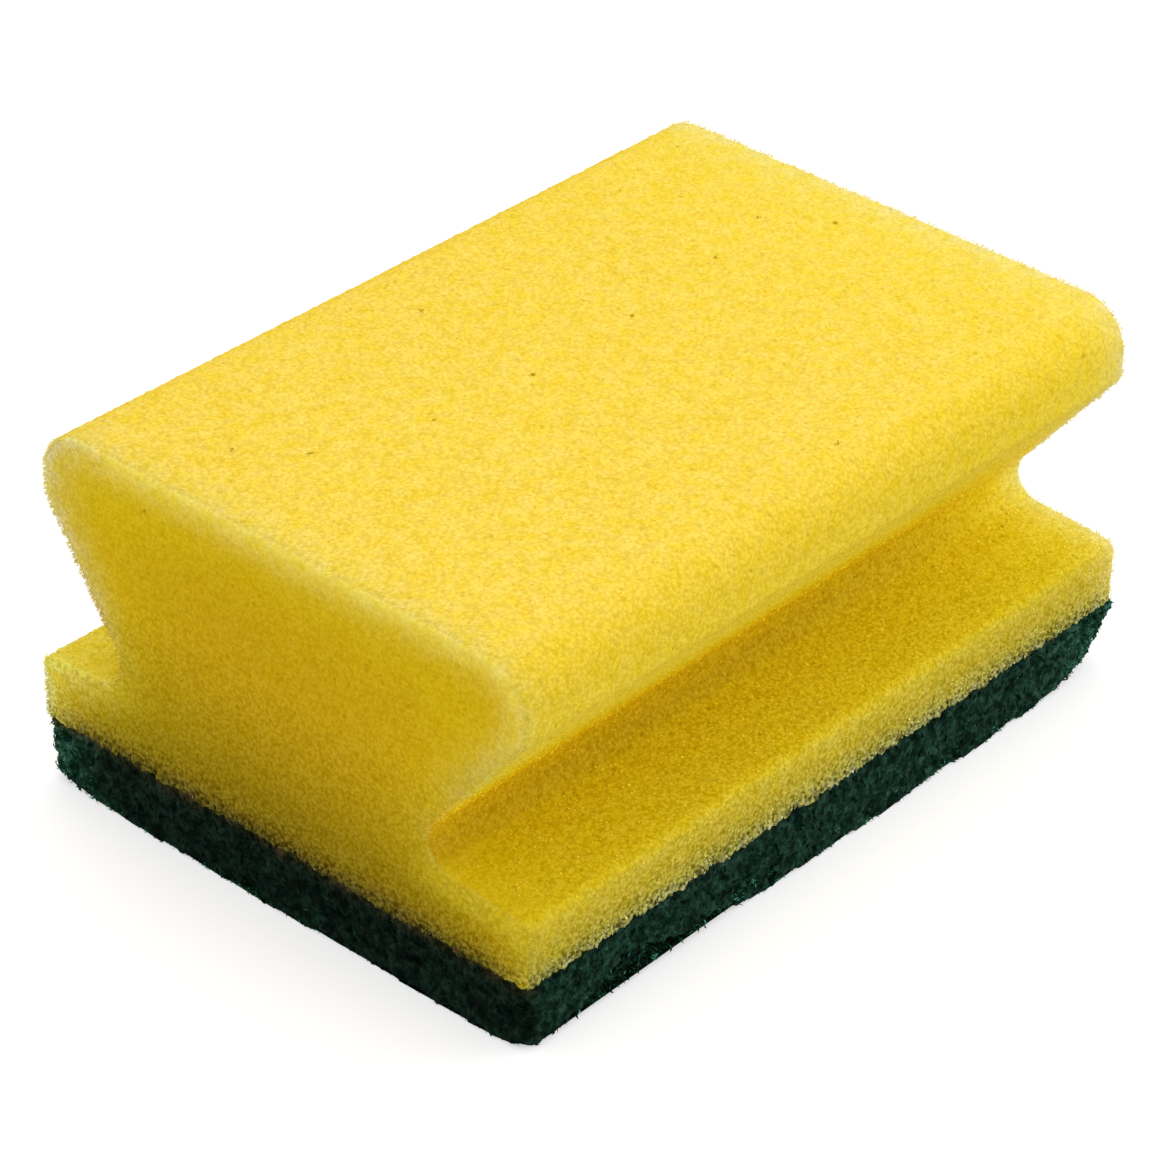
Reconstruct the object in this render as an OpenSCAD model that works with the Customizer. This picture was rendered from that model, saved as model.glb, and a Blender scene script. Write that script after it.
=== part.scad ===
// Grip sponge: a profiled block of open-cell foam laminated on a flat scouring pad.
// X runs along the length, Y across the width and Z up. The origin is the middle of
// the pad's underside, so the sponge stands on z = 0. Everything is in millimetres.

/* [Overall size] */
// Length of the foam block, end to end
sponge_l = 97.5; // [85:0.5:120]
// Width of the lower flange, the widest part of the foam
flange_w = 70; // [66:0.5:80]
// Height of the whole sponge
sponge_h = 45.5; // [44.8:0.1:55]

/* [Grip head] */
// Width across the two lips of the head
head_w = 67.4; // [64:0.2:70]
// Radius along the two long upper edges of the head
crown_r = 5.8; // [2:0.1:6.5]
// Height at which the upright side of each lip starts
lip_z = 36.8; // [33.8:0.1:36.8]
// Radius along the lower edge of each lip
lip_r = 1.8; // [0.5:0.1:3]

/* [Finger grooves] */
// Distance between the sharp roots of the two grooves, before they are rounded
root_w = 39.2; // [36:0.2:42]
// How far the roots stand off centre, because the block was cut a little out of line
root_shift = 1.2; // [0:0.1:1.5]
// Height of the grooves' roots
root_z = 17.3; // [16.8:0.1:18.8]
// Radius at the bottom of each groove
groove_r = 3; // [1:0.1:3.4]

/* [Lower flange] */
// Height of the flange's upper edge
flange_z = 16; // [13.8:0.1:16.6]
// Radius along the flange's upper edge
flange_r = 1.2; // [0.4:0.1:2]

/* [Scouring pad] */
// Thickness of the scouring pad
pad_t = 8; // [5:0.1:9]
// How far the pad stands back from the foam on all four sides
pad_inset = 0.6; // [0:0.1:2]
// Radius of the pad's upright corners
pad_corner_r = 3; // [2:0.1:6]
// Radius along the pad's worn lower edge
pad_edge_r = 1.2; // [0.4:0.1:1.8]

/* [Hidden] */

arc_steps = 10;
pad_l = sponge_l - 2 * pad_inset;
pad_w = flange_w - 2 * pad_inset;

// The foam's section, counter-clockwise from the lower left: [y, z, radius of that corner]
foam_corners = [
    [-flange_w / 2, pad_t, 0],
    [flange_w / 2, pad_t, 0],
    [flange_w / 2, flange_z, flange_r],
    [root_w / 2 + root_shift, root_z, groove_r],
    [head_w / 2, lip_z, lip_r],
    [head_w / 2, sponge_h, crown_r],
    [-head_w / 2, sponge_h, crown_r],
    [-head_w / 2, lip_z, lip_r],
    [-root_w / 2 + root_shift, root_z, groove_r],
    [-flange_w / 2, flange_z, flange_r]
];

function unit(v) = v / norm(v);
function point(corner) = [corner[0], corner[1]];

// Points of the arc of radius r that rounds the corner at p, between its neighbours a and b.
// A radius of 0 leaves the corner sharp.
function rounded_corner(a, p, b, r) =
    r == 0 ? [p] :
    let (
        to_a = unit(a - p),
        to_b = unit(b - p),
        half_angle = acos(to_a * to_b) / 2,
        centre = p + unit(to_a + to_b) * r / sin(half_angle),
        start = p + to_a * r / tan(half_angle) - centre,
        finish = p + to_b * r / tan(half_angle) - centre,
        sweep = 180 - 2 * half_angle
    )
    [for (i = [0 : arc_steps])
        let (turn = sweep * i / arc_steps)
        centre + (start * sin(sweep - turn) + finish * sin(turn)) / sin(sweep)];

// Outline through the corners, each one rounded to its own radius
function rounded_outline(corners) =
    let (n = len(corners))
    [for (i = [0 : n - 1])
        each rounded_corner(
            point(corners[(i + n - 1) % n]),
            point(corners[i]),
            point(corners[(i + 1) % n]),
            corners[i][2]
        )];

// Extrudes a [y, z] section along X, centred on x = 0
module along_x(length) {
    rotate([90, 0, 90])
        translate([0, 0, -length / 2])
            linear_extrude(length)
                children();
}

// One block of open-cell foam, cut through along X by the profile
module foam_body() {
    color("gold")
        along_x(sponge_l)
            polygon(rounded_outline(foam_corners));
}

// Upright section of the pad, width wide, with its two lower edges rounded
module pad_section(width) {
    translate([-width / 2, pad_edge_r])
        square([width, pad_t - pad_edge_r]);
    translate([-width / 2 + pad_edge_r, 0])
        square([width - 2 * pad_edge_r, pad_edge_r]);
    for (side = [-1, 1])
        translate([side * (width / 2 - pad_edge_r), pad_edge_r])
            circle(pad_edge_r, $fn = 48);
}

// One corner of the pad: its section turned about an upright axis
module pad_corner() {
    rotate_extrude($fn = 64)
        intersection() {
            pad_section(2 * pad_corner_r);
            square([pad_corner_r, pad_t]);
        }
}

// Flat pad of non-woven abrasive fibre, with round corners and a rounded lower edge
module scouring_pad() {
    color("darkslategray") {
        along_x(pad_l - 2 * pad_corner_r)
            pad_section(pad_w);
        rotate([0, 0, 90])
            along_x(pad_w - 2 * pad_corner_r)
                pad_section(pad_l);
        for (sx = [-1, 1], sy = [-1, 1])
            translate([sx * (pad_l / 2 - pad_corner_r), sy * (pad_w / 2 - pad_corner_r), 0])
                pad_corner();
    }
}

foam_body();
scouring_pad();
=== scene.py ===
import math

import bpy
import numpy as np
from mathutils import Matrix, Vector
from mathutils.geometry import delaunay_2d_cdt


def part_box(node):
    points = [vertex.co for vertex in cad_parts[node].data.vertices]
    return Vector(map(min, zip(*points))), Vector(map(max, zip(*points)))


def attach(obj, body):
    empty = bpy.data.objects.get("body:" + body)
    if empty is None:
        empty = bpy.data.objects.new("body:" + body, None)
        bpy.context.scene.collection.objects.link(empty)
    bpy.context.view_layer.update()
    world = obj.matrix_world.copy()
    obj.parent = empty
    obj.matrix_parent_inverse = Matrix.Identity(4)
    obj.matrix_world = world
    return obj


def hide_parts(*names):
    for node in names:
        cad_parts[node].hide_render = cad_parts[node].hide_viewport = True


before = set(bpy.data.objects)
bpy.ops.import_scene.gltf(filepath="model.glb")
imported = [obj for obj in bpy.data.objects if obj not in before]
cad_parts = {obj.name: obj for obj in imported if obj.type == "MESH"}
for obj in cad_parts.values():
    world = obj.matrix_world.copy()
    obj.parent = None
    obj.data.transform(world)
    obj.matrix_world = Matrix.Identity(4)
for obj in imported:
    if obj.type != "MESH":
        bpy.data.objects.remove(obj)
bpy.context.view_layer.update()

# The grip sponge's looks. Lengths are in millimetres here and turn into metres in add_mesh().
# X is the length, Y the width, Z up, and z = 0 is the surface that the pad stands on.
MM = 0.001
DISPLAY_GAMMA = 2.2
random = np.random.default_rng(7)

FOAM_HIGH = np.array(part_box("foam_body")[1]) / MM
PAD_LOW, PAD_HIGH = (np.array(corner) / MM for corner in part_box("scouring_pad"))
HALF_LENGTH = FOAM_HIGH[0]
SEAM_Z = PAD_HIGH[2]

# Camera, as seen in the photo: which way it looks, how far off and through what lens
CAMERA_AZIMUTH = math.radians(-49.17)
CAMERA_ELEVATION = math.radians(33.19)
CAMERA_ROLL = math.radians(1.61)
CAMERA_DISTANCE = 504.2
CAMERA_LENS = 140.21
CAMERA_AIM = (5.196, 5.837, 12.646)

# Light: the dome's strength, and each lamp's name, place and size in metres and power in watts
DOME_STRENGTH = 0.90
LAMPS = (
    ("overhead", (0.10, 0.15, 0.80), 0.6, 1.25),
    ("front_right", (0.65, -0.45, 0.36), 0.35, 1.5),
)

# The floor's grey, and how much lighter the camera sees it
FLOOR_GREY = 0.65
FLOOR_LIFT = 0.5

# Foam cells: how far apart, how far shaken off an even grid and how deep they are, how uneven
# their struts, and how many finer cells there are to a metre
CELL_PITCH = 0.875
CELL_JITTER = 0.36
CELL_DEPTH = 0.16
STRUT_RISE = 0.04
FINE_GRAIN = 2200
# How far the cut edges have given way, at the low-X and the high-X end
EDGE_RADII = (0.9, 0.35)
# The kinds of point in a patch of cells
RIM, PORE, JOINT = range(3)

# Foam colours, as linear light. Along the grooved sides they go with the height, with light and shade
# painted in:
# grey-yellow with painted shade next to the dark pad, darker with painted shade in the root of a groove, a
# painted glow under the thin lip, and plain on top.
SIDE_YELLOWS = (
    (8.5, (0.23, 0.22, 0.025)), (10.2, (0.43, 0.36, 0.025)), (12.0, (0.55, 0.43, 0.027)),
    (14.0, (0.64, 0.49, 0.030)), (15.0, (0.68, 0.52, 0.031)), (16.0, (0.68, 0.505, 0.008)),
    (16.8, (0.685, 0.505, 0.003)), (17.4, (0.565, 0.377, 0.002)), (18.6, (0.54, 0.345, 0.002)),
    (20.5, (0.66, 0.425, 0.002)), (22.5, (0.86, 0.56, 0.002)), (25.0, (0.915, 0.635, 0.004)),
    (29.0, (0.93, 0.70, 0.03)), (33.0, (0.905, 0.675, 0.040)), (38.0, (0.845, 0.622, 0.036)),
    (42.0, (0.84, 0.598, 0.034)), (44.5, (0.86, 0.612, 0.047)), (45.5, (0.885, 0.636, 0.070)))
# The cut ends: painted shade deep in the block, a painted glow nearer the light, and painted light along
# their edges
DEEP_YELLOW = np.array((0.66, 0.41, 0.005))
GLOWING_YELLOW = np.array((0.75, 0.507, 0.005))
EDGE_YELLOW = np.array((1.0, 0.77, 0.10))
# How light the painted edge is at each height, lightest at the top
EDGE_LIGHT = (
    (8, 0.45), (11, 0.55), (14, 0.70), (22, 0.64), (28, 0.67), (33, 0.76), (38, 0.88), (45.5, 1.03))
# The edge in the far low-X corner, paler with painted light
BACK_EDGE_YELLOW = np.array((0.86, 0.78, 0.33))
# Painted shade: how light an end is at each height above the pad, darker towards the pad
END_LIGHT = ((0, 0.12), (1, 0.19), (2.5, 0.34), (4, 0.43), (6, 0.50), (9, 0.64), (14, 0.85), (20, 1.0))
# Painted light: the high-X end's glow, where light shines through it, and the pale colour of thin foam
LIT_YELLOW = np.array((1.0, 0.79, 0.012))
PALE_YELLOW = np.array((0.87, 0.77, 0.27))
# How far pores and struts stand out from that, at each height, as a step of display brightness: grain with
# painted shade in the pores and painted highlight on the struts, strongest by the dark pad
GRAIN_CONTRAST = (
    (8, 0.38), (9.3, 0.25), (10.6, 0.15), (12.5, 0.09), (15, 0.08), (24, 0.08), (30, 0.055), (44, 0.048),
    (45.5, 0.045))
SPECK_BROWN = (0.76, 0.56, 0.012)

# Loose grains and struts on the foam, by where they stand: how many in a piece, their length and
# thickness, how far out of the skin they are, and how light, in steps of the grain's contrast
GRAIN_PIECES = 2
LOOSE_STRUTS = {
    "all": (27000, (0.27, 0.15), (0.02, 0.02), (0, 1.5)),
    "seam": (7500, (0.7, 0.12), (0.05, 0.05), (-1.1, 0.45)),
    "edge": (2600, (0.6, 0.11), (0, 0.3), (-0.6, 1.6)),
    "groove": (6500, (0.4, 0.36), (-0.02, -0.02), (0.3, 1.6)),
}

# The pad: its corners in plan, its rounded lower edge, how far its foot spreads, how high that is torn
PAD_CORNER = 2.0
PAD_EDGE = 0.3
PAD_SPREAD = 0.5
PAD_TEAR = 0.55
# Its mesh: how far apart points are round it and below it, and how many rows the sides have
PAD_PITCH = 0.42
UNDER_PITCH = 0.8
PAD_ROWS = 18
# The fibres' green, and the core's darker green, which is partly painted shade between the fibres
FIBRE_GREEN = np.array((0.0105, 0.078, 0.041))
CORE_GREEN = np.array((0.0045, 0.026, 0.0145))
# Foam caught in the top of the pad, seen on the low-X end, and how dark the pad is at that end, as painted
# shade
CAUGHT_FOAM = np.array((0.056, 0.060, 0.014))
END_SHADE = 0.36
# How many fibres in a piece, and the share of them on the sides
PAD_FIBRES = {"side": (28000, 0.97), "under": (16000, 0.05)}
# Worn places of the pad's lower edge: where, how wide and how high
WORN_EDGES = (
    ((-41, -35), 5, 0.8), ((-31, -35), 6, 3.2), ((-21, -35), 5, 1.3), ((49, -35), 8, 1.8),
    ((-49, 35), 5, 0.8))
# Frayed corners of the pad: where, how wide, and how far out the top and the foot go
FRAYED_CORNERS = (((48, -34), 5, 1.9, -1.2), ((-48, 34), 4, 1.0, -0.15))

# Brownish specks in the top of the head, in the low-X end and under the head's rounded edge
SPECKS = (
    (-39, 15.5, 45.5), (-34, 9, 45.5), (-20.5, 4.5, 45.5), (-6.5, 3.5, 45.5), (-5, 21, 45.5), (10, 4, 45.5),
    (26, 6, 45.5), (36.5, 8.5, 45.5), (41.5, 1.5, 45.5), (5, -28.5, 45.5), (-48.8, 18.3, 41.3),
    (41.6, -33.1, 42.4))


# ---------------------------------------------------------------- meshes

def add_mesh(name, points, faces, material, smooth=True):
    """A new mesh object from points in millimetres and an array of triangles."""
    mesh = bpy.data.meshes.new(name)
    mesh.vertices.add(len(points))
    mesh.vertices.foreach_set("co", (np.asarray(points) * MM).astype(np.float32).ravel())
    faces = np.asarray(faces, np.int32)
    mesh.loops.add(faces.size)
    mesh.loops.foreach_set("vertex_index", faces.ravel())
    mesh.polygons.add(len(faces))
    mesh.polygons.foreach_set("loop_start", np.arange(0, faces.size, 3, dtype=np.int32))
    mesh.polygons.foreach_set("use_smooth", np.full(len(faces), smooth))
    mesh.update(calc_edges=True)
    mesh.materials.append(material)
    piece = bpy.data.objects.new(name, mesh)
    bpy.context.scene.collection.objects.link(piece)
    return piece


def add_value(piece, name, values):
    """One number for each vertex, which the piece's material reads by name."""
    attribute = piece.data.attributes.new(name, "FLOAT", "POINT")
    attribute.data.foreach_set("value", np.asarray(values, np.float32))


def add_colour(piece, name, colours):
    """One colour for each vertex, as linear light."""
    attribute = piece.data.color_attributes.new(name, "FLOAT_COLOR", "POINT")
    attribute.data.foreach_set("color", np.column_stack([colours, np.ones(len(colours))]).ravel())


def mixed(first, second, share):
    """Mixes plain colours or arrays of them, by a share for each point."""
    return first + (second - first) * np.asarray(share)[:, None]


def shifted(colours, step):
    """Lighter or darker by an even step of display brightness."""
    display = np.maximum(colours, 0) ** (1 / DISPLAY_GAMMA) + np.asarray(step)[:, None]
    return display.clip(0, 1) ** DISPLAY_GAMMA


def at_heights(table, height):
    """The numbers or colours of a table of (height, value) rows at each height."""
    levels, values = zip(*table)
    rows = np.array(values).reshape(len(levels), -1).T
    return np.stack([np.interp(height, levels, row) for row in rows], 1).squeeze()


def unit(vectors):
    """The same directions at length 1."""
    return vectors / np.linalg.norm(vectors, axis=1)[:, None]


def soft_noise(points, pitch):
    """Smooth noise from about -1 to 1, a feature every pitch millimetres."""
    table = random.uniform(-1, 1, (32, 32, 32))
    cell = np.floor(points / pitch).astype(int)
    share = points / pitch - cell
    share = share * share * (3 - 2 * share)
    total = np.zeros(len(points))
    for corner in np.ndindex(2, 2, 2):
        weight = np.prod(np.where(corner, share, 1 - share), 1)
        i, j, k = ((cell + corner) % 32).T
        total += weight * table[i, j, k]
    return total


def end_outline(node):
    """The (y, z) outline of a CAD node's low-X end face, counter-clockwise seen from +X."""
    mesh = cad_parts[node].data
    end_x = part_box(node)[0].x
    steps = set()
    for face in mesh.polygons:
        corners = [mesh.vertices[i].co for i in face.vertices]
        if all(abs(corner.x - end_x) < 1e-6 for corner in corners):
            ring = [(round(c.y / MM, 4), round(c.z / MM, 4)) for c in corners]
            for step in zip(ring, ring[1:] + ring[:1]):
                if step[::-1] in steps:
                    steps.remove(step[::-1])
                else:
                    steps.add(step)
    following = {end: start for start, end in steps}
    outline = [min(following, key=lambda p: (p[1], p[0]))]
    while len(outline) < len(following):
        outline.append(following[outline[-1]])
    return np.array(outline)


def resample(points, pitch):
    """Points along an open polyline at an even pitch, and both its ends."""
    lengths = np.r_[0, np.cumsum(np.linalg.norm(np.diff(points, axis=0), axis=1))]
    at = np.linspace(0, lengths[-1], max(2, int(round(lengths[-1] / pitch)) + 1))
    return np.stack([np.interp(at, lengths, points[:, k]) for k in range(points.shape[1])], 1), at


def inside_outline(outline, points):
    """Which (n, 2) points are inside a closed outline."""
    inside = np.zeros(len(points), bool)
    for (x0, y0), (x1, y1) in zip(outline, np.roll(outline, -1, 0)):
        if y0 != y1:
            crosses = (points[:, 1] < y0) != (points[:, 1] < y1)
            inside ^= crosses & (points[:, 0] < x0 + (points[:, 1] - y0) * (x1 - x0) / (y1 - y0))
    return inside


def nearest_on_outline(outline, points, closed=True):
    """The nearest place on an outline to each point."""
    nearest = np.full(points.shape, np.inf)
    steps = list(zip(outline, np.roll(outline, -1, 0)))
    for start, end in steps if closed else steps[:-1]:
        step = end - start
        share = np.clip((points - start) @ step / (step @ step), 0, 1)
        place = start + share[:, None] * step
        closer = ((points - place) ** 2).sum(1) < ((points - nearest) ** 2).sum(1)
        nearest[closer] = place[closer]
    return nearest


def distance_to_outline(outline, points):
    """How far each point is from an outline."""
    return np.linalg.norm(points - nearest_on_outline(outline, points), axis=1)


def scattered(low, high, pitch):
    """Points of a shaken triangular grid over a rectangle."""
    rows = np.arange(low[1], high[1], pitch * math.sqrt(3) / 2)
    columns = np.arange(low[0] - pitch, high[0] + pitch, pitch)
    grid = np.array([(x + pitch / 2 * (i % 2), y) for i, y in enumerate(rows) for x in columns])
    return grid + random.uniform(-CELL_JITTER, CELL_JITTER, grid.shape) * pitch


def triangulated(points, rim_count):
    """Counter-clockwise triangles over flat points, of which the first rim_count are a closed rim."""
    flat, _, faces, _, _, _ = delaunay_2d_cdt(
        [Vector(p) for p in points], [], [list(range(rim_count))], 1, 1e-5, False)
    flat, faces = np.array(flat), np.array(faces)
    turn = np.cross(flat[faces[:, 1]] - flat[faces[:, 0]], flat[faces[:, 2]] - flat[faces[:, 0]])
    faces[turn < 0] = faces[turn < 0][:, ::-1]
    return flat, faces


def rectangle_rim(across, up):
    """A rectangle's closed rim, from the places along its lower side and those up its other side."""
    return np.vstack([
        np.stack([across, np.full(len(across), up[0])], 1)[:-1],
        np.stack([np.full(len(up), across[-1]), up], 1)[:-1],
        np.stack([across, np.full(len(across), up[-1])], 1)[:0:-1],
        np.stack([np.full(len(up), across[0]), up], 1)[:0:-1]])


def welded(points, digits):
    """Which points to keep so that no two coincide, and which of those each point turns into."""
    _, first, same = np.unique(np.round(points, digits), axis=0, return_index=True, return_inverse=True)
    return first, same.ravel()


def cell_patch(rim, pitch):
    """A flat patch of cells within a closed rim: its points, its triangles and what each point is.

    Each cell is a ring of strut joints round its pore, so the triangles run from a pore's middle
    to two neighbouring joints. The kinds are RIM, PORE and JOINT."""
    grid = scattered(rim.min(0), rim.max(0), pitch)
    grid = grid[inside_outline(rim, grid)]
    grid = grid[distance_to_outline(rim, grid) > pitch / 2]
    middles = np.vstack([rim, grid])
    points, faces = triangulated(middles, len(rim))
    points[:len(middles)] = middles
    faces = faces[inside_outline(rim, points[faces].mean(1))]
    count = len(points)
    joints = points[faces].mean(1)
    start, end = faces.ravel(), np.roll(faces, -1, 1).ravel()
    owner = np.repeat(np.arange(len(faces)), 3)
    there = start * count + end
    back = end * count + start
    order = np.argsort(there)
    place = np.clip(np.searchsorted(there[order], back), 0, len(there) - 1)
    has_twin = there[order][place] == back
    other = owner[order][place]
    inner = np.stack([start, count + other, count + owner], 1)[has_twin]
    outer = np.stack([start, end, count + owner], 1)[~has_twin]
    kinds = np.repeat((RIM, PORE, JOINT), (len(rim), len(points) - len(rim), len(joints)))
    return np.vstack([points, joints]), np.vstack([inner, outer]), kinds


# ---------------------------------------------------------------- the foam block

def foam_block():
    """The foam's skin of open cells, closed, on the CAD block's own outline.

    Gives its points, triangles and outward directions, and how deep in a pore each point is."""
    outline = end_outline("foam_body")
    loop = np.vstack([outline[1:], outline[:1]])
    wrap, along = resample(loop, CELL_PITCH / 2)
    # The profile's outward directions, each from a short stretch of it
    fine, fine_along = resample(loop, 0.1)
    stretch = 0.35
    lead = np.array([np.interp(fine_along + stretch, fine_along, fine[:, k]) for k in (0, 1)]).T
    trail = np.array([np.interp(fine_along - stretch, fine_along, fine[:, k]) for k in (0, 1)]).T
    tangent = unit(lead - trail)
    normal = np.stack([tangent[:, 1], -tangent[:, 0]], 1)
    ends = np.linspace(-HALF_LENGTH, HALF_LENGTH, int(round(4 * HALF_LENGTH / CELL_PITCH)) + 1)
    base, outwards, push, faces, depths, rims = [], [], [], [], [], []

    def add(points, outward, drawn, kind, from_edge):
        """Adds a patch, with its pores sunk and its rim rounded; cells are deeper near the seam."""
        near_seam = (1 - (points[:, 2] - SEAM_Z) / 2.5).clip(0, 1) * (1 - 0.5 * np.abs(outward[:, 0]))
        depth = relief(kind, near_seam)
        away = np.linalg.norm(from_edge, axis=1)
        inset, slide = rounded(away, np.where(points[:, 0] < 0, *EDGE_RADII))
        slide = np.where(kind == RIM, 0, slide) / np.maximum(away, 1e-6)
        faces.append(drawn + sum(len(b) for b in base))
        base.append(points)
        outwards.append(outward)
        push.append(from_edge * slide[:, None] - outward * (depth + inset)[:, None])
        depths.append(depth / CELL_DEPTH)
        rims.append(away)

    # The long skin, from the flange's foot on the +Y side over the head to the other foot
    flat, drawn, kind = cell_patch(rectangle_rim(along, ends), CELL_PITCH)
    loop_along = np.r_[0, np.cumsum(np.linalg.norm(np.diff(loop, axis=0), axis=1))]
    at = np.stack([np.interp(flat[:, 0], loop_along, loop[:, k]) for k in (0, 1)], 1)
    out = np.stack([np.interp(flat[:, 0], fine_along, normal[:, k]) for k in (0, 1)], 1)
    outward = np.column_stack([np.zeros(len(flat)), out])
    from_edge = np.zeros((len(flat), 3))
    from_edge[:, 0] = flat[:, 1] - np.copysign(HALF_LENGTH, flat[:, 1])
    add(np.column_stack([flat[:, 1], at]), outward, drawn, kind, from_edge)

    # The two cut ends
    foot, _ = resample(outline[:2], CELL_PITCH / 2)
    full = np.vstack([foot[:-1], wrap[:-1]])
    for side in (-1, 1):
        flat, drawn, kind = cell_patch(full, CELL_PITCH)
        from_edge = np.column_stack(
            [np.zeros(len(flat)), flat - nearest_on_outline(wrap, flat, closed=False)])
        points = np.column_stack([np.full(len(flat), side * HALF_LENGTH), flat])
        outward = np.tile([side, 0.0, 0.0], (len(flat), 1))
        add(points, outward, drawn if side > 0 else drawn[:, ::-1], kind, from_edge)

    # The glued underside, hidden by the pad, in coarse faces
    rim = rectangle_rim(foot[:, 0], ends)[:, ::-1]
    flat, drawn = triangulated(rim, len(rim))
    faces.append(drawn[:, ::-1] + sum(len(b) for b in base))
    base.append(np.column_stack([flat, np.full(len(flat), SEAM_Z)]))
    outwards.append(np.tile([0.0, 0.0, -0.01], (len(flat), 1)))
    push.append(np.zeros((len(flat), 3)))
    depths.append(np.zeros(len(flat)))
    rims.append(np.zeros(len(flat)))

    base = np.vstack(base)
    first, same = welded(base, 4)
    points = base[first]
    np.add.at(points, same, np.vstack(push))
    outward = np.zeros((len(first), 3))
    np.add.at(outward, same, np.vstack(outwards))
    # The foot is torn a little above and below the seam
    seam = base[first][:, 2] < SEAM_Z + 1e-3
    tear = 0.4 + 0.35 * soft_noise(points, 1.9) + 0.6 * soft_noise(points, 0.8)
    tear += random.uniform(-0.5, 0.6, len(points))
    points[:, 2] += np.where(seam, tear.clip(-0.2, 1.7), 0)
    return {
        "outline": outline, "base": base[first], "points": points, "faces": same[np.vstack(faces)],
        "outward": unit(outward), "depth": np.concatenate(depths)[first],
        "from_rim": np.concatenate(rims)[first]}


def rounded(away, radius):
    """A cut edge's rounding: how far in, and how far along the face, a point near it gives way."""
    turn = math.pi / 4 * np.clip(1 - away / radius, 0, 1)
    along = np.where(away < radius, radius * (1 - np.sin(turn)) - away, 0)
    return radius * (1 - np.cos(turn)), along


def relief(kind, near_seam):
    """How deep each point lies: pores deep, strut joints about level, points on an edge either."""
    pore = CELL_DEPTH * random.uniform(0.4, 1.15, len(kind)) * (1 + 2 * near_seam)
    joint = -STRUT_RISE * random.normal(0, 1, len(kind))
    on_edge = 0.35 * CELL_DEPTH * random.uniform(-0.5, 1, len(kind))
    return np.select([kind == PORE, kind == JOINT], [pore, joint], on_edge)


def light_through(foam, fade):
    """How much light comes through the foam to each point of its skin, from 0 to 1.

    It fades to about a third over each stretch of fade millimetres of foam."""
    outline, points, outward = foam["outline"], foam["base"], foam["outward"]
    pitch, reach = 0.25, 24.0
    low = outline.min(0) - reach
    size = np.ceil((np.ptp(outline, axis=0) + 2 * reach) / pitch).astype(int)
    columns, rows = np.meshgrid(np.arange(size[0]), np.arange(size[1]), indexing="ij")
    centres = low + (np.stack([columns.ravel(), rows.ravel()], 1) + 0.5) * pitch
    solid = inside_outline(outline, centres).reshape(size)
    stations = np.array((0.3, 1, 2, 3.5, 6, 10, 16, reach))
    count = 40
    height = 1 - 2 * (np.arange(count) + 0.5) / count
    turn = np.arange(count) * math.pi * (3 - math.sqrt(5))
    ring = np.sqrt(1 - height ** 2)
    ways = np.stack([ring * np.cos(turn), ring * np.sin(turn), height], 1)
    light, whole = np.zeros(len(points)), np.zeros(len(points))
    for way in ways:
        inward = outward @ way < -0.05
        start = points[inward] - 0.2 * outward[inward]
        foam_length = np.zeros(len(start))
        for near, far in zip(stations, stations[1:]):
            spot = start + way * (near + far) / 2
            cell = ((spot[:, 1:] - low) / pitch).astype(int).clip(0, size - 1)
            within = solid[cell[:, 0], cell[:, 1]] & (np.abs(spot[:, 0]) < HALF_LENGTH)
            foam_length += (far - near) * within
        weight = 0.75 + 0.25 * way[2]
        light[inward] += weight * np.exp(-foam_length / fade)
        whole[inward] += weight
    return light / np.maximum(whole, 1e-6)


def side_colours(base):
    """The mean colour of the long skin, from the low-X end to the high-X end, with light and shade painted
    in.
    """
    height = base[:, 2]
    from_low, from_high = base[:, 0] + HALF_LENGTH, HALF_LENGTH - base[:, 0]
    side = at_heights(SIDE_YELLOWS, height)
    # Painted shade: dimmer, and a little bluer above the groove, at the low-X end
    above_groove = np.interp(height, (24, 28), (0, 1))
    dimmer = side * (1 - np.outer(above_groove, (0.13, 0.06, 0))) + (0, 0, 0.006)
    dimmer[:, 2] += 0.024 * above_groove
    side = mixed(side, dimmer, np.exp(-from_low / 2.5))
    # Painted light: the far flange is lighter, and its low-X corner is pale
    far_flange = (base[:, 1] > 0) & (height < 18)
    side[far_flange] *= (1.14, 1.23, 1.0)
    corner = np.exp((base[:, 1] - FOAM_HIGH[1]) / 3 - from_low / 6)
    side = mixed(side, PALE_YELLOW, far_flange * (0.1 + 0.3 * corner))
    # Painted light shining through the high-X end, most of all in the grooves and at its rim, and on the
    # flange's end
    in_groove = np.interp(height, (15.5, 16.5, 24, 30), (0, 1, 1, 0.3))
    side = mixed(side, LIT_YELLOW, in_groove * np.exp(-from_high / 14))
    under_lip = np.interp(height, (20, 24, 36, 40), (0, 1, 1, 0.3))
    rim_share = np.interp(height, (14, 17, 32, 42), (0.5, 0.9, 0.9, 0.65)) * np.exp(-from_high / 2.0)
    side = mixed(side, PALE_YELLOW, rim_share + 0.25 * under_lip * np.exp(-from_high / 7))
    flange_end = np.interp(height, (8, 9, 15, 16), (0, 1, 1, 0)) * np.exp(-from_high / 5)
    side *= 1 + np.outer(flange_end, (0.2, 0.16, 0))
    # Painted shade: the whole is a little dimmer towards the high-X end, and the top towards its far side
    top_back = np.interp(base[:, 1], (0, 30), (0, 1)) * (height > 40)
    side *= (1 - 0.04 * np.exp(-from_high / 12) - 0.025 * top_back)[:, None]
    return side


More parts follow.
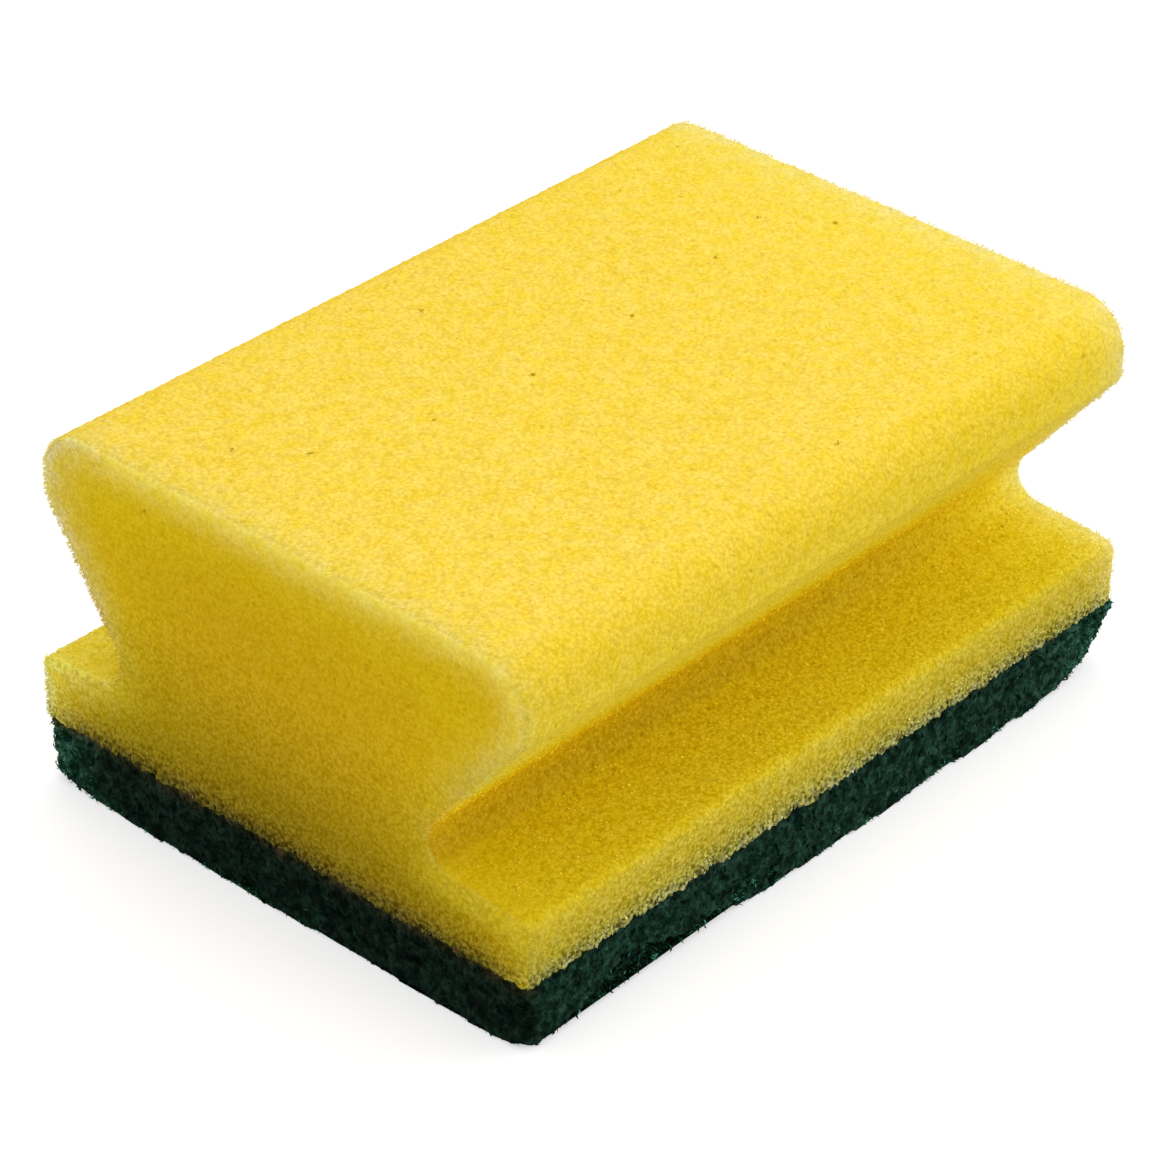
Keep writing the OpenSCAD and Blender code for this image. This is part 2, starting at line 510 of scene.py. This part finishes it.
def end_colours(foam, back):
    """The mean colour of a cut end, and that of the edge round it, with light and shade painted in; back is
    1 in the far low-X corner.
    """
    base = foam["base"]
    height = base[:, 2]
    # Painted light and shade: deep yellow with a painted glow where the foam is thin and painted shade
    # towards the pad, a little greener to the far side low down, and greener and bluer right at the pad
    glow = ((light_through(foam, 16.0) - 0.23) / 0.16).clip(0, 1)
    end = mixed(DEEP_YELLOW, GLOWING_YELLOW, glow) * at_heights(END_LIGHT, height - SEAM_Z)[:, None]
    end[:, 1] *= 1 + 0.05 * np.interp(base[:, 1], (0, 25), (0, 1)) * np.interp(height, (20, 30), (1, 0.3))
    end *= 1 + np.outer(np.exp(-(height - SEAM_Z) / 0.4), (0, 0.18, 0.4))
    # Painted light: lighter at the far side of the crown, and on the flange next to the end's sides, most
    # in the far low-X corner
    crown = np.interp(base[:, 1], (8, 20), (0, 1)) * np.interp(height, (35, 42), (0, 1))
    end *= 1 + np.outer(crown, (0.05, 0.08, 0))
    flank = np.exp((np.abs(base[:, 1]) - FOAM_HIGH[1]) / 8) * np.interp(height, (16, 20), (1, 0))
    end *= (1 + flank * (0.9 + 0.7 * back))[:, None]
    # Painted light in the thin foam of the edge: a pale edge, paler and narrower at the far corner, and
    # faint in the roots of the grooves
    root = np.interp(height, (15, 17, 25, 29), (1, 0.35, 0.35, 1))
    far_waist = np.interp(base[:, 1], (18, 24), (0, 1)) * (base[:, 0] < 0)
    root *= 1 + 0.7 * far_waist * (height > 16) * (height < 28)
    pale = EDGE_YELLOW * at_heights(EDGE_LIGHT, height)[:, None]
    pale[:, 2] *= np.interp(height, (16, 28), (0.35, 1))
    end = mixed(end, pale, root * (1 - back) * np.exp(-(foam["from_rim"] / 2.8) ** 2))
    back_pale = np.tile(BACK_EDGE_YELLOW, (len(base), 1))
    back_pale[:, 2] *= np.interp(height, (16, 20), (0.5, 1))
    reach = np.interp(height, (14, 17, 24, 30), (2.0, 3.5, 3.5, 2.0))
    end = mixed(end, back_pale, root * back * np.exp(-foam["from_rim"] / reach))
    edge = mixed(pale * (0.88, 0.9, 1.2), back_pale * (1.02, 1.04, 0.75), back * (height > 15))
    return end, edge


def foam_colours(foam):
    """At each point of the skin its mean colour, with light and shade painted in, how far its grain stands
    out, and how calm it is.
    """
    base, outward_x = foam["base"], foam["outward"][:, 0]
    height = base[:, 2]
    from_low, from_high = base[:, 0] + HALF_LENGTH, HALF_LENGTH - base[:, 0]
    back = ((base[:, 1] - 22) / 10).clip(0, 1) * (base[:, 0] < 0)
    end, edge = end_colours(foam, back)
    side = side_colours(base)
    # Painted light on the low-X end's edge itself, which bends away from the light: it is as pale as what
    # it bounds
    side = np.where((from_low < 0.01)[:, None], np.maximum(side, edge), side)
    on_end = np.abs(outward_x) > 0.8
    mean = mixed(side, end, on_end)
    # Less grain on the ends than on the skin, and less still round the low-X end's foot
    contrast = at_heights(GRAIN_CONTRAST, height)
    contrast *= np.where(on_end, 0.68 + 0.9 * back * np.exp(-foam["from_rim"] / 1.5), 1)
    contrast *= 1 - 0.4 * np.exp(-from_low / 9) * (height < 18) * ~on_end
    contrast *= np.where(outward_x < -0.8, np.interp(height, (8, 11.5), (0.62, 1)), 1)
    # Deep in the groove the pores are full of light, so their painted shade is fainter and only single
    # struts stand out
    deep = np.interp(height, (14.5, 17, 24, 28), (0, 1, 1, 0))
    calm = (1 - deep * (0.15 + 0.25 * np.exp(-from_low / 10))) * (1 - 0.3 * np.exp(-from_high / 25))
    return mean, contrast, np.where(on_end, 1, calm)


# ---------------------------------------------------------------- struts and fibres

def scatter_on(points, faces, weights, count):
    """Random places on a mesh: where, which way is out, and which point is nearby."""
    corners = points[faces]
    across = np.cross(corners[:, 1] - corners[:, 0], corners[:, 2] - corners[:, 0])
    area = np.linalg.norm(across, axis=1) * weights[faces].mean(1)
    chosen = np.searchsorted(np.cumsum(area) / area.sum(), random.uniform(0, 1, count))
    chosen = chosen.clip(0, len(faces) - 1)
    first, second = np.sort(random.uniform(0, 1, (2, count)), 0)
    share = np.stack([first, second - first, 1 - second], 1)
    return (corners[chosen] * share[:, :, None]).sum(1), unit(across[chosen]), faces[chosen, 0]


def tubes(paths, thickness):
    """Thin three-sided strands, closed and pointed at both ends, one along each row of points."""
    count, length, _ = paths.shape
    ahead = np.empty_like(paths)
    ahead[:, 1:-1] = paths[:, 2:] - paths[:, :-2]
    ahead = ahead[:, 1:-1]
    ahead /= np.linalg.norm(ahead, axis=2)[..., None]
    helper = unit(random.normal(0, 1, (count, 3)))[:, None]
    side = np.cross(ahead, helper)
    side /= np.linalg.norm(side, axis=2)[..., None]
    up = np.cross(ahead, side)
    thickness = np.broadcast_to(thickness, (count,))[:, None, None] / 2
    rings = []
    for turn in (0, 2 * math.pi / 3, 4 * math.pi / 3):
        rings.append(paths[:, 1:-1] + thickness * (side * math.cos(turn) + up * math.sin(turn)))
    inner = np.stack(rings, 2).reshape(count, -1, 3)
    points = np.concatenate([paths[:, :1], inner, paths[:, -1:]], 1)
    last = 3 * (length - 2) + 1
    faces = []
    for k in range(3):
        j = (k + 1) % 3
        faces += [(0, 1 + j, 1 + k), (last, last - 3 + k, last - 3 + j)]
        for ring in range(length - 3):
            a, b = 1 + 3 * ring + k, 1 + 3 * ring + j
            faces += [(a, b, b + 3), (a, b + 3, a + 3)]
    shift = (np.arange(count) * (last + 1))[:, None, None]
    return points.reshape(-1, 3), (np.array(faces)[None] + shift).reshape(-1, 3), last + 1


def strand_paths(middle, way, length, bend):
    """Three points for each strand: its two ends and its middle, pushed aside by bend."""
    return np.stack([middle - way * length / 2, middle + bend, middle + way * length / 2], 1)


def strut_weights(foam, place):
    """How thickly loose struts stand at each point of the skin."""
    height = foam["base"][:, 2] - SEAM_Z
    if place == "seam":
        weights = np.clip(1 - height, 0, 1)
    elif place == "edge":
        # Nearly all on the far side of the low-X end, where the photo's outline is frayed
        weights = (foam["from_rim"] < 0.01) * (height > 0.1)
        low_end = np.where(foam["outward"][:, 1] > 0.35, 1, 0.08)
        weights = weights * np.where(foam["base"][:, 0] > 0, 0.3, low_end)
        weights = weights * np.interp(height, (8, 9, 14, 18), (1, 0.35, 0.35, 1))
    elif place == "groove":
        weights = np.interp(height, (0, 2, 15, 19), (0, 1, 1, 0)) * (np.abs(foam["outward"][:, 0]) < 0.5)
    else:
        edge = np.clip(light_through(foam, 1.6) / 0.3, 0, 1)
        weights = 1 + edge + np.clip(1 - height / 6, 0, 1)
    return weights * (foam["outward"][:, 2] > -0.95)


def foam_grains(foam, look, name, material, place):
    """Loose ends of cut struts: short grains all over or in the grooves, longer ones on the edges."""
    count, (long, thick), lift, (darkest, lightest) = LOOSE_STRUTS[place]
    mean, contrast, _ = look
    at, out, near = scatter_on(foam["points"], foam["faces"], strut_weights(foam, place), count)
    way = unit(random.normal(0, 1, at.shape))
    if place in ("all", "groove"):
        way = unit(way - 0.7 * out * (way * out).sum(1)[:, None])
    else:
        lean = np.array((0, 0, -0.9)) if place == "seam" else foam["outward"][near]
        way = unit(way + out * random.uniform(0, 0.9, len(at))[:, None] + lean)
    length = long * random.uniform(0.5, 1.4, (len(at), 1))
    middle = at + out * random.uniform(*lift, (len(at), 1))
    bend = 0.1 * length * unit(random.normal(0, 1, at.shape))
    paths = strand_paths(middle, way, length, bend)
    points, faces, each = tubes(paths, thick * random.uniform(0.6, 1.25, len(at)))
    piece = add_mesh(name, points, faces, material, smooth=False)
    # Each is lighter or darker than the skin by its step, partly grain, partly painted highlight and shade,
    # and a few get a painted glint
    step = random.uniform(darkest, lightest, len(at)) + 0.9 * (random.uniform(0, 1, len(at)) < 0.12)
    dress_strands(piece, np.repeat(shifted(mean[near], contrast[near] * step), each, 0))
    return piece


def dress_strands(piece, colours):
    """Gives loose foam one colour at each vertex, with no pores in it."""
    add_colour(piece, "strut_colour", colours)
    add_colour(piece, "pore_colour", colours)
    add_value(piece, "pore", np.zeros(len(colours)))


# ---------------------------------------------------------------- the scouring pad

def pad_outline():
    """The pad's outline in plan, counter-clockwise, with its outward directions."""
    (low_x, low_y), (high_x, high_y) = PAD_LOW[:2], PAD_HIGH[:2]
    points = []
    corners = ((high_x, low_y), (high_x, high_y), (low_x, high_y), (low_x, low_y))
    for (x, y), first in zip(corners, (-90, 0, 90, 180)):
        centre = np.array((x - math.copysign(PAD_CORNER, x), y - math.copysign(PAD_CORNER, y)))
        for turn in np.radians(np.linspace(first, first + 90, 7)):
            points.append(centre + PAD_CORNER * np.array((math.cos(turn), math.sin(turn))))
    ring, _ = resample(np.array(points + points[:1]), PAD_PITCH)
    ring = ring[:-1]
    ahead = unit(np.roll(ring, -1, 0) - np.roll(ring, 1, 0))
    return ring, np.stack([ahead[:, 1], -ahead[:, 0]], 1)


def pad_slab():
    """The pad's ragged body of matted fibre: a closed mesh."""
    ring, out = pad_outline()
    levels = np.arange(0, PAD_HIGH[2] + 1e-6, PAD_HIGH[2] / PAD_ROWS)[::-1]
    rounding = np.clip(1 - levels / PAD_EDGE, 0, 1)
    inset = PAD_EDGE * (1 - np.sqrt(1 - rounding ** 2))
    rows = [np.column_stack([ring - out * step, np.full(len(ring), z)]) for step, z in zip(inset, levels)]
    points = [np.vstack(rows)]
    outward = [np.tile(np.column_stack([out, np.zeros(len(ring))]), (len(levels), 1))]
    around = len(ring)
    i = np.arange(around)
    j = (i + 1) % around
    faces = []
    for level in range(len(levels) - 1):
        a, b = level * around + i, level * around + j
        faces += [np.stack([a, a + around, b + around], 1), np.stack([a, b + around, b], 1)]
    # The underside has a grid of its own; the top, hidden by the foam, is plain
    rim = rows[-1][:, :2]
    grid = scattered(rim.min(0), rim.max(0), UNDER_PITCH)
    grid = grid[inside_outline(rim, grid)]
    grid = grid[distance_to_outline(rim, grid) > UNDER_PITCH / 2]
    flat, drawn = triangulated(np.vstack([rim, grid]), around)
    faces.append(drawn[:, ::-1] + len(levels) * around)
    points.append(np.column_stack([flat, np.zeros(len(flat))]))
    outward.append(np.tile([0.0, 0.0, -1.0], (len(flat), 1)))
    flat, drawn = triangulated(rows[0][:, :2], around)
    faces.append(drawn + sum(len(p) for p in points))
    points.append(np.column_stack([flat, np.full(len(flat), PAD_HIGH[2])]))
    outward.append(np.zeros((len(flat), 3)))
    points, outward, faces = np.vstack(points), np.vstack(outward), np.vstack(faces)
    first, same = welded(points, 3)
    base, outward, faces = points[first], outward[first], same[faces]
    return {"base": base, "points": worn_pad(base, outward), "faces": faces, "outward": outward}


def worn_pad(base, outward):
    """Where the pad's points end up: tugged fibre, frayed corners and a spread, torn and worn foot."""
    tug = 0.3 * soft_noise(base, 1.1) + 0.3 * soft_noise(base, 0.6) + 0.3 * soft_noise(base, 5)
    seam = np.clip((PAD_HIGH[2] - base[:, 2]) / 1.0, 0, 1)
    foot = np.clip(1 - base[:, 2] / 0.8, 0, 1)
    worn = sum(rise * near_place(base, place, width) for place, width, rise in WORN_EDGES)
    points = base + outward * (tug * (0.4 + 0.6 * seam) * np.where(outward[:, 2] < 0, 0.4, 1))[:, None]
    for place, width, top, low in FRAYED_CORNERS:
        share = near_place(base, place, width)
        reach = low + (top - low) * base[:, 2] / PAD_HIGH[2]
        points[:, :2] += np.sign(place) * (share * reach / math.sqrt(2))[:, None]
    points += outward * (PAD_SPREAD * (1 - base[:, 2] / PAD_HIGH[2]) * (outward[:, 2] > -0.5))[:, None]
    points[:, 2] += foot * (PAD_TEAR * (soft_noise(base, 1.1) + soft_noise(base, 3.5)) - 0.15).clip(0, 1.0)
    points[:, 2] = (points[:, 2] + worn * (1 - base[:, 2] / PAD_HIGH[2])).clip(0, None)
    return points


def at_low_end(base):
    """1 on the pad's low-X end, fading to nothing round its corners."""
    return np.clip((-base[:, 0] - PAD_HIGH[0] + 2.5) / 2.0, 0, 1)


def pad_shade(base):
    """Painted shade, darker towards the low-X end and next to the foam that overhangs it; lighter where
    fibres have come loose.
    """
    # Painted shade on the top of the pad's sides, next to the foam that overhangs them
    under_foam_shade = np.clip(1 - (PAD_HIGH[2] - base[:, 2]) / 1.2, 0, 1)
    frayed = sum(near_place(base, place, 1.4 * width) for place, width, _, _ in FRAYED_CORNERS)
    at_end = 1 - (1 - END_SHADE) * at_low_end(base) * (1 - 0.6 * frayed)
    return at_end * (1 - 0.45 * under_foam_shade * (1 - frayed)) * (1 + 2.0 * frayed)


def soaked(tint, base):
    """The pad's colour, with the foam that is caught in its top on the low-X end mixed in."""
    return mixed(tint, CAUGHT_FOAM, 0.75 * at_low_end(base) * np.exp(-(PAD_HIGH[2] - base[:, 2]) / 0.5))


def near_place(base, place, width):
    """1 at a place in plan, fading to nothing over about width millimetres."""
    return np.exp(-((base[:, :2] - place) ** 2).sum(1) / width ** 2)


def pad_fibres(pad, material, part):
    """Short bits of tangled fibre that lie in and stand out of the pad's sides or underside."""
    count, side_share = PAD_FIBRES[part]
    below = pad["outward"][:, 2] < -0.5
    hidden = (pad["base"][:, 2] > PAD_HIGH[2] - 0.3) & (np.abs(pad["outward"]).sum(1) < 0.1)
    weights = np.where(hidden, 0, np.where(below, 1 - side_share, side_share))
    for place, width, _, _ in FRAYED_CORNERS:
        weights = weights * (1 + 2.5 * near_place(pad["base"], place, width))
    at, out, near = scatter_on(pad["points"], pad["faces"], weights, count)
    way = random.normal(0, 1, at.shape)
    way = unit(way - 0.6 * out * (way * out).sum(1)[:, None])
    length = 0.9 * random.uniform(0.4, 1.5, (len(at), 1))
    bend = 0.2 * length * unit(random.normal(0, 1, at.shape))
    middle = at + out * random.uniform(-0.1, 0.1, (len(at), 1))
    paths = strand_paths(middle, way, length, bend)
    paths[:, :, 2] = np.clip(paths[:, :, 2], 0.12, PAD_HIGH[2] + 0.15)
    points, faces, each = tubes(paths, random.uniform(0.12, 0.3, len(at)))
    points[:, 2] = points[:, 2].clip(0, None)
    piece = add_mesh(f"scouring_pad_{part}_fibres", points, faces, material)
    shade = pad_shade(pad["base"])[near, None] * random.uniform(0.1, 1.0, (len(at), 1)) ** 1.5
    tint = FIBRE_GREEN * shade
    tint[:, 2] *= random.uniform(0.7, 1.25, len(at))
    add_colour(piece, "fibre_colour", np.repeat(soaked(tint, pad["base"][near]), each, 0))
    return piece


def foam_specks(material):
    """Small brownish specks in the foam's skin, each a knot of a few short strands."""
    strands = 8
    paths = []
    for place in SPECKS:
        size = random.uniform(0.34, 0.44)
        middle = place + random.normal(0, 0.35, (strands, 3)) * size * (1, 1, 0.3)
        way = unit(random.normal(0, 1, middle.shape) * (1, 1, 0.5))
        paths.append(strand_paths(middle, way, random.uniform(0.5, 1.3, (strands, 1)) * size, 0.05))
    paths = np.concatenate(paths)
    points, faces, _ = tubes(paths, random.uniform(0.12, 0.22, len(paths)))
    piece = add_mesh("foam_specks", points, faces, material)
    dress_strands(piece, np.tile(SPECK_BROWN, (len(points), 1)))
    return piece


# ---------------------------------------------------------------- materials

def new_material(name):
    """A new material with its nodes, links and main shader."""
    material = bpy.data.materials.new(name)
    material.use_nodes = True
    nodes = material.node_tree.nodes
    return material, nodes, material.node_tree.links, nodes["Principled BSDF"]


def vertex_data(nodes, name):
    """What add_value() or add_colour() gave each vertex, as an attribute node."""
    node = nodes.new("ShaderNodeAttribute")
    node.attribute_name = name
    return node.outputs


def ramp(nodes, links, source, stops):
    """A colour ramp over a value; each stop is a position and a colour or a grey."""
    node = nodes.new("ShaderNodeValToRGB")
    elements = node.color_ramp.elements
    while len(elements) < len(stops):
        elements.new(0.5)
    for element, (position, colour) in zip(elements, stops):
        element.position = position
        element.color = (*colour, 1) if isinstance(colour, tuple) else (colour, colour, colour, 1)
    links.new(source, node.inputs["Fac"])
    return node.outputs["Color"]


def blended(nodes, links, share, first, second, way="MIX"):
    """Mixes two colours; each one is a socket or a plain colour."""
    node = nodes.new("ShaderNodeMix")
    node.data_type = "RGBA"
    node.blend_type = way
    for name, value in (("Factor", share), ("A", first), ("B", second)):
        if isinstance(value, bpy.types.NodeSocket):
            links.new(value, node.inputs[name])
        else:
            node.inputs[name].default_value = (*value, 1) if isinstance(value, tuple) else value
    return node.outputs["Result"]


def noise(nodes, links, scale, detail):
    """Fractal noise in object space, scale in features per metre."""
    place = nodes.new("ShaderNodeTexCoord")
    node = nodes.new("ShaderNodeTexNoise")
    node.inputs["Scale"].default_value = scale
    node.inputs["Detail"].default_value = detail
    links.new(place.outputs["Object"], node.inputs["Vector"])
    return node.outputs["Fac"]


def grains(nodes, links, scale):
    """The distance from the middle of the nearest of many small grains, scale grains per metre."""
    place = nodes.new("ShaderNodeTexCoord")
    node = nodes.new("ShaderNodeTexVoronoi")
    node.inputs["Scale"].default_value = scale
    links.new(place.outputs["Object"], node.inputs["Vector"])
    return node.outputs["Distance"]


def combined(nodes, links, operation, first, second):
    """A sum, product or the like of two values; each is a socket or a number."""
    node = nodes.new("ShaderNodeMath")
    node.operation = operation
    for socket, value in zip(node.inputs, (first, second)):
        if isinstance(value, bpy.types.NodeSocket):
            links.new(value, socket)
        else:
            socket.default_value = value
    return node.outputs[0]


def foam_material():
    """Open-cell foam: the grain of struts and pores, with painted highlight on the struts and painted shade
    in the pores, and finer cells between the modelled ones.
    """
    material, nodes, links, shader = new_material("yellow_foam")
    strut = vertex_data(nodes, "strut_colour")["Color"]
    hollow = vertex_data(nodes, "pore_colour")["Color"]
    gap = combined(nodes, links, "ADD", grains(nodes, links, FINE_GRAIN), noise(nodes, links, 2500, 2))
    gap = combined(nodes, links, "MULTIPLY", gap, 0.5)
    gap = ramp(nodes, links, gap, [(0.36, 0.0), (0.66, 1.0)])
    depth = combined(nodes, links, "MULTIPLY", vertex_data(nodes, "pore")["Fac"], 0.3)
    depth = combined(nodes, links, "ADD", depth, combined(nodes, links, "MULTIPLY", gap, 0.8))
    share = ramp(nodes, links, depth, [(0.05, 0.0), (0.95, 1.0)])
    colour = blended(nodes, links, share, strut, hollow)
    patch = noise(nodes, links, 600, 1)
    patch = ramp(nodes, links, patch, [(0.3, (0.985, 0.97, 0.6)), (0.7, (1.015, 1.03, 1.4))])
    colour = blended(nodes, links, 1.0, colour, patch, "MULTIPLY")
    links.new(colour, shader.inputs["Base Color"])
    shader.inputs["Roughness"].default_value = 0.6
    shader.inputs["Specular IOR Level"].default_value = 0.02
    bump = nodes.new("ShaderNodeBump")
    bump.inputs["Strength"].default_value = 0.35
    bump.inputs["Distance"].default_value = 0.15 * MM
    bump.invert = True
    # Only the skin has this value, so that the loose grains stay plain
    height = combined(nodes, links, "MULTIPLY", depth, vertex_data(nodes, "skin")["Fac"])
    links.new(height, bump.inputs["Height"])
    links.new(bump.outputs["Normal"], shader.inputs["Normal"])
    return material


def pad_material():
    """Nonwoven scourer: dark green fibre with resin and grit, with painted shade in its hollows."""
    material, nodes, links, shader = new_material("green_scourer")
    fibre = vertex_data(nodes, "fibre_colour")["Color"]
    fine = noise(nodes, links, 1900, 3)
    fine = ramp(nodes, links, fine, [(0.35, (0.25, 0.45, 0.4)), (0.65, (2.6, 1.8, 1.95))])
    coarse = noise(nodes, links, 750, 1)
    coarse = ramp(nodes, links, coarse, [(0.36, (0.2, 0.4, 0.35)), (0.66, (2.6, 1.85, 2.0))])
    mottle = blended(nodes, links, 1.0, fine, coarse, "MULTIPLY")
    colour = blended(nodes, links, 1.0, fibre, mottle, "MULTIPLY")
    links.new(colour, shader.inputs["Base Color"])
    shader.inputs["Roughness"].default_value = 0.7
    shader.inputs["Specular IOR Level"].default_value = 0.03
    bump = nodes.new("ShaderNodeBump")
    bump.inputs["Strength"].default_value = 0.8
    bump.inputs["Distance"].default_value = 0.25 * MM
    links.new(noise(nodes, links, 2200, 4), bump.inputs["Height"])
    links.new(bump.outputs["Normal"], shader.inputs["Normal"])
    return material


# ---------------------------------------------------------------- the stage

def add_floor():
    """A pale floor. The camera sees it white, with the sponge's shadow; the sponge sees it dimmer."""
    bpy.ops.mesh.primitive_plane_add(size=6)
    floor = bpy.context.object
    floor.name = "floor"
    material = bpy.data.materials.new("pale_floor")
    material.use_nodes = True
    nodes, links = material.node_tree.nodes, material.node_tree.links
    nodes.remove(nodes["Principled BSDF"])
    dim = nodes.new("ShaderNodeBsdfDiffuse")
    dim.inputs["Color"].default_value = (FLOOR_GREY, FLOOR_GREY, FLOOR_GREY, 1)
    lift = nodes.new("ShaderNodeEmission")
    lift.inputs["Strength"].default_value = FLOOR_LIFT
    seen = nodes.new("ShaderNodeAddShader")
    links.new(dim.outputs[0], seen.inputs[0])
    links.new(lift.outputs[0], seen.inputs[1])
    switch = nodes.new("ShaderNodeMixShader")
    links.new(backdrop_rays(nodes, links), switch.inputs["Fac"])
    links.new(dim.outputs[0], switch.inputs[1])
    links.new(seen.outputs[0], switch.inputs[2])
    links.new(switch.outputs[0], nodes["Material Output"].inputs["Surface"])
    floor.data.materials.append(material)


def backdrop_rays(nodes, links):
    """1 for the rays that show the backdrop: the camera's, and those in gloss and glass."""
    ray = nodes.new("ShaderNodeLightPath")
    total = ray.outputs["Is Camera Ray"]
    for other in ("Is Glossy Ray", "Is Transmission Ray"):
        total = combined(nodes, links, "MAXIMUM", total, ray.outputs[other])
    return total


def add_lights():
    """A soft, even studio dome and two large lamps."""
    world = bpy.data.worlds.new("studio")
    bpy.context.scene.world = world
    world.use_nodes = True
    nodes, links = world.node_tree.nodes, world.node_tree.links
    dome = nodes["Background"]
    dome.inputs["Color"].default_value = (1, 1, 1, 1)
    dome.inputs["Strength"].default_value = DOME_STRENGTH
    seen = nodes.new("ShaderNodeBackground")
    seen.inputs["Color"].default_value = (1, 1, 1, 1)
    switch = nodes.new("ShaderNodeMixShader")
    links.new(backdrop_rays(nodes, links), switch.inputs["Fac"])
    links.new(dome.outputs[0], switch.inputs[1])
    links.new(seen.outputs[0], switch.inputs[2])
    links.new(switch.outputs[0], nodes["World Output"].inputs["Surface"])
    for name, place, size, power in LAMPS:
        lamp = bpy.data.lights.new(name, "AREA")
        lamp.shape = "DISK"
        lamp.size = size
        lamp.energy = power
        holder = bpy.data.objects.new(name, lamp)
        holder.location = place
        holder.rotation_euler = (-Vector(place)).to_track_quat("-Z", "Y").to_euler()
        bpy.context.scene.collection.objects.link(holder)


def add_camera():
    """The camera stands where the photo was taken from."""
    back = Vector((
        math.sin(CAMERA_AZIMUTH) * math.cos(CAMERA_ELEVATION),
        -math.cos(CAMERA_AZIMUTH) * math.cos(CAMERA_ELEVATION),
        math.sin(CAMERA_ELEVATION)))
    right = Vector((math.cos(CAMERA_AZIMUTH), math.sin(CAMERA_AZIMUTH), 0))
    up = back.cross(right)
    turned_right = right * math.cos(CAMERA_ROLL) + up * math.sin(CAMERA_ROLL)
    turned_up = up * math.cos(CAMERA_ROLL) - right * math.sin(CAMERA_ROLL)
    lens = bpy.data.cameras.new("camera")
    lens.lens = CAMERA_LENS
    lens.sensor_width = 36
    lens.clip_start = 0.01
    camera = bpy.data.objects.new("camera", lens)
    axes = Matrix((turned_right, turned_up, back)).transposed().to_4x4()
    axes.translation = (Vector(CAMERA_AIM) + back * CAMERA_DISTANCE) * MM
    camera.matrix_world = axes
    bpy.context.scene.collection.objects.link(camera)
    bpy.context.scene.camera = camera


# ---------------------------------------------------------------- the scene

def finish_piece(piece, node=None):
    """Attaches a new piece to the root body, and hides the CAD part that it replaces, if any."""
    if node:
        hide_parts(node)
    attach(piece, "root")


yellow = foam_material()
green = pad_material()

foam = foam_block()
look = foam_colours(foam)
mean, contrast, calm = look
foam_piece = add_mesh("foam_body_cells", foam["points"], foam["faces"], yellow)
add_value(foam_piece, "pore", foam["depth"].clip(0, 1) * calm)
add_value(foam_piece, "skin", np.ones(len(calm)))
# Struts painted lighter and pores darker than the mean colour: grain with painted highlight and painted
# shade
add_colour(foam_piece, "strut_colour", shifted(mean, 0.9 * contrast * calm))
add_colour(foam_piece, "pore_colour", shifted(mean, -contrast * calm))
finish_piece(foam_piece, "foam_body")
for number in range(GRAIN_PIECES):
    grain_piece = foam_grains(foam, look, f"foam_grains_{number + 1}", yellow, "all")
    finish_piece(grain_piece)
for place in ("seam", "edge", "groove"):
    finish_piece(foam_grains(foam, look, f"foam_{place}_struts", yellow, place))

pad = pad_slab()
pad_piece = add_mesh("scouring_pad_core", pad["points"], pad["faces"], green)
core_shade = pad_shade(pad["base"])[:, None]
add_colour(pad_piece, "fibre_colour", soaked(CORE_GREEN * core_shade, pad["base"]))
finish_piece(pad_piece, "scouring_pad")
for part in PAD_FIBRES:
    finish_piece(pad_fibres(pad, green, part))
finish_piece(foam_specks(yellow))

add_floor()
add_lights()
add_camera()
bpy.context.scene.view_settings.view_transform = "Standard"
